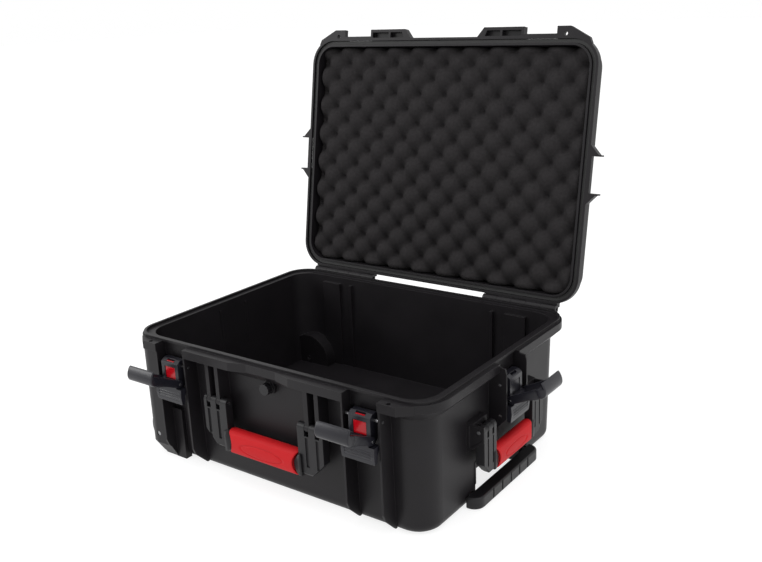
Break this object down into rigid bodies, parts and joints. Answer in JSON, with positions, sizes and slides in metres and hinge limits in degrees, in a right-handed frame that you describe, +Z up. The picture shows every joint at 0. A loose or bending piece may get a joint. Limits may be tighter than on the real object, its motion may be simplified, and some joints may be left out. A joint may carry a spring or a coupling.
{
  "type": "rolling hard equipment case",
  "caption": "Rolling hard equipment case, lid standing open over a foam-lined lid, with claw latches, folding carry handles, two wheels and a sliding trolley grip.",
  "frame": {"origin": "centre of the shell's footprint, on the surface that it stands on", "axes": "+X towards the trolley grip, -Y towards the front latches, +Z up; the lid stands open"},
  "size_m": [0.7051, 0.6124, 0.6325],
  "materials": {
    "shell_plastic": "fine moulded texture, charcoal black",
    "hardware_plastic": "satin charcoal",
    "latch_plastic": "satin blue-grey charcoal",
    "red_grip": "soft matte red",
    "red_button": "gloss red",
    "seal_rubber": "matte black",
    "foam": "open-cell charcoal foam",
    "pin_steel": "bright pins and screws",
    "tube_alloy": "drawn tube",
    "tyre_rubber": "matte black"
  },
  "bodies": {
    "base": {"base_shell": "shell_plastic", "hinge_pin_left": "pin_steel", "hinge_pin_right": "pin_steel", "front_handle_pins": "pin_steel", "side_handle_pins": "pin_steel", "valve_body": "hardware_plastic", "trolley_guides": "tube_alloy", "trolley_cover": "shell_plastic", "cover_screws": "pin_steel", "wheel_axle_front": "pin_steel", "wheel_axle_rear": "pin_steel", "lever_pin_front_left": "pin_steel", "lever_pin_front_right": "pin_steel", "lever_pin_side_left": "pin_steel", "lever_pin_side_right": "pin_steel"},
    "lid": {"lid_shell": "shell_plastic", "lid_gasket": "seal_rubber", "lid_foam": "foam"},
    "front_handle": {"front_handle_frame": "hardware_plastic", "front_handle_grip": "red_grip"},
    "side_handle": {"side_handle_frame": "hardware_plastic", "side_handle_grip": "red_grip"},
    "valve": {"valve_knob": "hardware_plastic"},
    "wheel_front": {"wheel_hub_front": "hardware_plastic", "wheel_tyre_front": "tyre_rubber"},
    "wheel_rear": {"wheel_hub_rear": "hardware_plastic", "wheel_tyre_rear": "tyre_rubber"},
    "trolley_middle": {"trolley_mid_tubes": "tube_alloy"},
    "trolley_upper": {"trolley_grip": "hardware_plastic", "trolley_rods": "tube_alloy"},
    "trolley_release": {"trolley_button": "hardware_plastic"},
    "lever_front_left": {"latch_lever_front_left": "latch_plastic", "claw_pin_front_left": "pin_steel"},
    "claw_front_left": {"latch_claw_front_left": "latch_plastic"},
    "button_front_left": {"latch_button_front_left": "red_button"},
    "lever_front_right": {"latch_lever_front_right": "latch_plastic", "claw_pin_front_right": "pin_steel"},
    "claw_front_right": {"latch_claw_front_right": "latch_plastic"},
    "button_front_right": {"latch_button_front_right": "red_button"},
    "lever_side_left": {"latch_lever_side_left": "latch_plastic", "claw_pin_side_left": "pin_steel"},
    "claw_side_left": {"latch_claw_side_left": "latch_plastic"},
    "button_side_left": {"latch_button_side_left": "latch_plastic"},
    "lever_side_right": {"latch_lever_side_right": "latch_plastic", "claw_pin_side_right": "pin_steel"},
    "claw_side_right": {"latch_claw_side_right": "latch_plastic"},
    "button_side_right": {"latch_button_side_right": "latch_plastic"}
  },
  "joints": [
    {"name": "lid_hinge", "type": "hinge", "parent": "base", "child": "lid", "pos_m": [0, 0.2166, 0.198], "axis": [1, 0, 0], "range_deg": [0, 99.5]},
    {"name": "lever_hinge_front_left", "type": "hinge", "parent": "base", "child": "lever_front_left", "pos_m": [-0.179, -0.2095, 0.168], "axis": [1, 0, 0], "range_deg": [-90, 0]},
    {"name": "claw_hinge_front_left", "type": "hinge", "parent": "lever_front_left", "child": "claw_front_left", "pos_m": [-0.179, -0.2205, 0.143], "axis": [-1, 0, 0], "range_deg": [0, 63]},
    {"name": "button_slide_front_left", "type": "slide", "parent": "lever_front_left", "child": "button_front_left", "axis": [0, 1, 0], "range_m": [0, 0.002], "stiffness_N_per_m": 300},
    {"name": "lever_hinge_front_right", "type": "hinge", "parent": "base", "child": "lever_front_right", "pos_m": [0.179, -0.2095, 0.168], "axis": [1, 0, 0], "range_deg": [-90, 0]},
    {"name": "claw_hinge_front_right", "type": "hinge", "parent": "lever_front_right", "child": "claw_front_right", "pos_m": [0.179, -0.2205, 0.143], "axis": [-1, 0, 0], "range_deg": [0, 63]},
    {"name": "button_slide_front_right", "type": "slide", "parent": "lever_front_right", "child": "button_front_right", "axis": [0, 1, 0], "range_m": [0, 0.002], "stiffness_N_per_m": 300},
    {"name": "lever_hinge_side_left", "type": "hinge", "parent": "base", "child": "lever_side_left", "pos_m": [-0.2805, 0, 0.168], "axis": [0, -1, 0], "range_deg": [-90, 0]},
    {"name": "claw_hinge_side_left", "type": "hinge", "parent": "lever_side_left", "child": "claw_side_left", "pos_m": [-0.2915, 0, 0.143], "axis": [0, 1, 0], "range_deg": [0, 81]},
    {"name": "button_slide_side_left", "type": "slide", "parent": "lever_side_left", "child": "button_side_left", "axis": [1, 0, 0], "range_m": [0, 0.002], "stiffness_N_per_m": 300},
    {"name": "lever_hinge_side_right", "type": "hinge", "parent": "base", "child": "lever_side_right", "pos_m": [0.2805, 0, 0.168], "axis": [0, 1, 0], "range_deg": [-90, 0]},
    {"name": "claw_hinge_side_right", "type": "hinge", "parent": "lever_side_right", "child": "claw_side_right", "pos_m": [0.2915, 0, 0.143], "axis": [0, -1, 0], "range_deg": [0, 63]},
    {"name": "button_slide_side_right", "type": "slide", "parent": "lever_side_right", "child": "button_side_right", "axis": [-1, 0, 0], "range_m": [0, 0.002], "stiffness_N_per_m": 300},
    {"name": "front_handle_hinge", "type": "hinge", "parent": "base", "child": "front_handle", "pos_m": [0, -0.21, 0.129], "axis": [-1, 0, 0], "range_deg": [0, 100]},
    {"name": "side_handle_hinge", "type": "hinge", "parent": "base", "child": "side_handle", "pos_m": [0.2815, 0, 0.121], "axis": [0, -1, 0], "range_deg": [0, 100]},
    {"name": "valve_turn", "type": "hinge", "parent": "base", "child": "valve", "pos_m": [0.004, -0.198, 0.166], "axis": [0, -1, 0], "range_deg": [0, 270]},
    {"name": "wheel_front_spin", "type": "hinge", "parent": "base", "child": "wheel_front", "pos_m": [-0.235, -0.1795, 0.0375], "axis": [0, 1, 0], "continuous": true},
    {"name": "wheel_rear_spin", "type": "hinge", "parent": "base", "child": "wheel_rear", "pos_m": [-0.235, 0.1795, 0.0375], "axis": [0, 1, 0], "continuous": true},
    {"name": "trolley_slide", "type": "slide", "parent": "base", "child": "trolley_middle", "axis": [1, 0, 0], "range_m": [0, 0.27]},
    {"name": "trolley_upper_slide", "type": "slide", "parent": "trolley_middle", "child": "trolley_upper", "axis": [1, 0, 0], "range_m": [0, 0.27]},
    {"name": "trolley_release_slide", "type": "slide", "parent": "trolley_upper", "child": "trolley_release", "axis": [1, 0, 0], "range_m": [0, 0.0025], "stiffness_N_per_m": 300}
  ],
  "couplings": [
    {"joint": "trolley_upper_slide", "follows": "trolley_slide", "ratio": 1}
  ]
}
